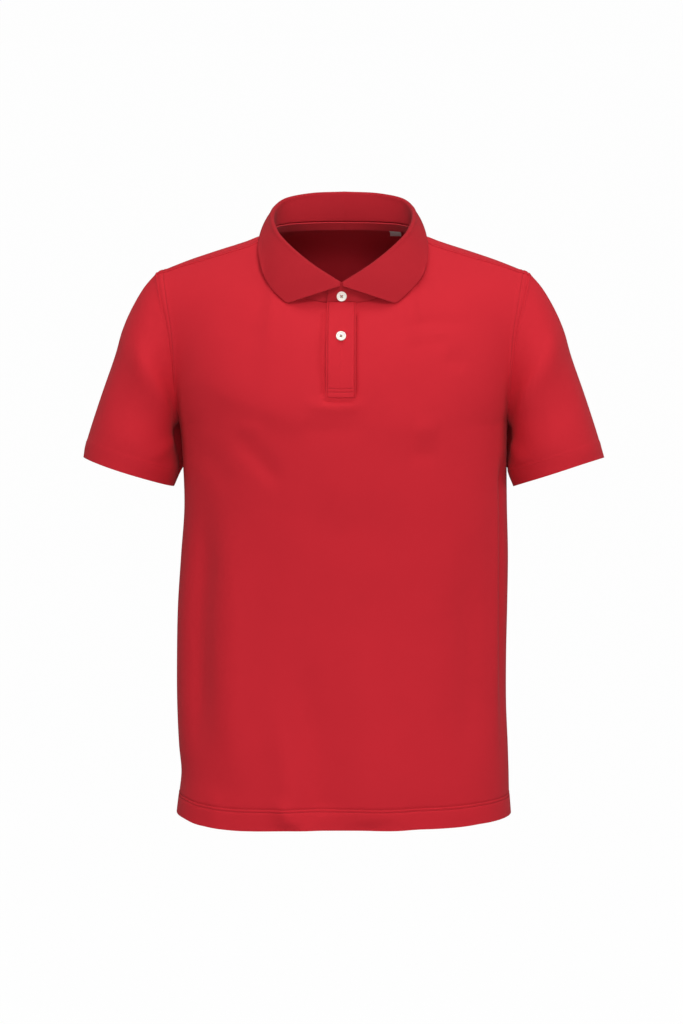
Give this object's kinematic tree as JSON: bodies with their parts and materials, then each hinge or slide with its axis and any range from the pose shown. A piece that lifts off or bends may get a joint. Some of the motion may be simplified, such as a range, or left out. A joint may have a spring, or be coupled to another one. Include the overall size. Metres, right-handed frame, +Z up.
{
  "type": "polo shirt",
  "caption": "Short-sleeved polo shirt with fold-down collar, buttoned half placket and straight hem, filled out in its hollow worn form.",
  "frame": {"origin": "on the neck's axis, level with the shoulder line where it meets the collar, where the wearer holds the shirt up", "axes": "+Z up, -Y towards the front, +X towards the wearer's left"},
  "size_m": [0.6156, 0.2708, 0.7363],
  "materials": {
    "body_knit": "matt fine cotton knit, red",
    "collar_knit": "matt cotton knit, red, a little firmer",
    "neck_tape": "matt woven tape, red",
    "label": "bare woven label, pale grey",
    "button": "satin, off-white"
  },
  "bodies": {
    "root": {"front_panel": "body_knit", "back_panel": "body_knit", "sleeve_left": "body_knit", "sleeve_right": "body_knit", "cuff_left": "body_knit", "cuff_right": "body_knit", "placket": "body_knit", "placket_under": "body_knit", "collar_stand": "collar_knit", "collar_leaf": "collar_knit", "neck_tape": "neck_tape", "neck_label": "label", "button_top": "button", "button_second": "button"}
  },
  "joints": []
}
